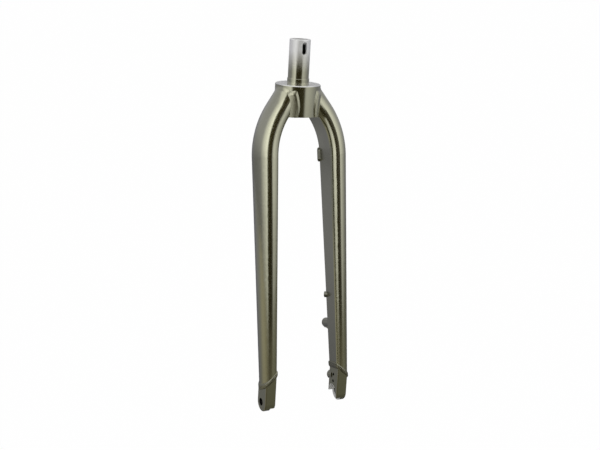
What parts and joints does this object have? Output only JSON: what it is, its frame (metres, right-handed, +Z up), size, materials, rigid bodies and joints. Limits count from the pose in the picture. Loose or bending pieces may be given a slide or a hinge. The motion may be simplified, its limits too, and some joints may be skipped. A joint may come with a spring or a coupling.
{
  "type": "rigid bicycle fork",
  "caption": "Rigid bicycle fork with a threadless steerer, curved tapering blades welded to a round crown, closed axle dropouts and disc brake posts.",
  "frame": {"origin": "on the steering axis at the crown's top face", "axes": "+Z up the steerer, +X forward, +Y to the rider's left"},
  "size_m": [0.1106, 0.1386, 0.5027],
  "materials": {
    "bare_aluminium": "turned aluminium, bare at the top and dusted with paint towards the crown",
    "crown_paint": "gloss metallic paint",
    "blade_paint": "gloss metallic paint",
    "weld_paint": "gloss metallic paint",
    "dropout_paint": "gloss metallic paint"
  },
  "bodies": {
    "root": {"steerer": "bare_aluminium", "crown": "crown_paint", "left_blade": "blade_paint", "right_blade": "blade_paint", "left_crown_weld": "weld_paint", "right_crown_weld": "weld_paint", "left_dropout": "dropout_paint", "right_dropout": "dropout_paint", "left_dropout_weld": "weld_paint", "right_dropout_weld": "weld_paint", "upper_brake_post": "dropout_paint", "hose_guide": "blade_paint", "clip_boss": "blade_paint"}
  },
  "joints": []
}
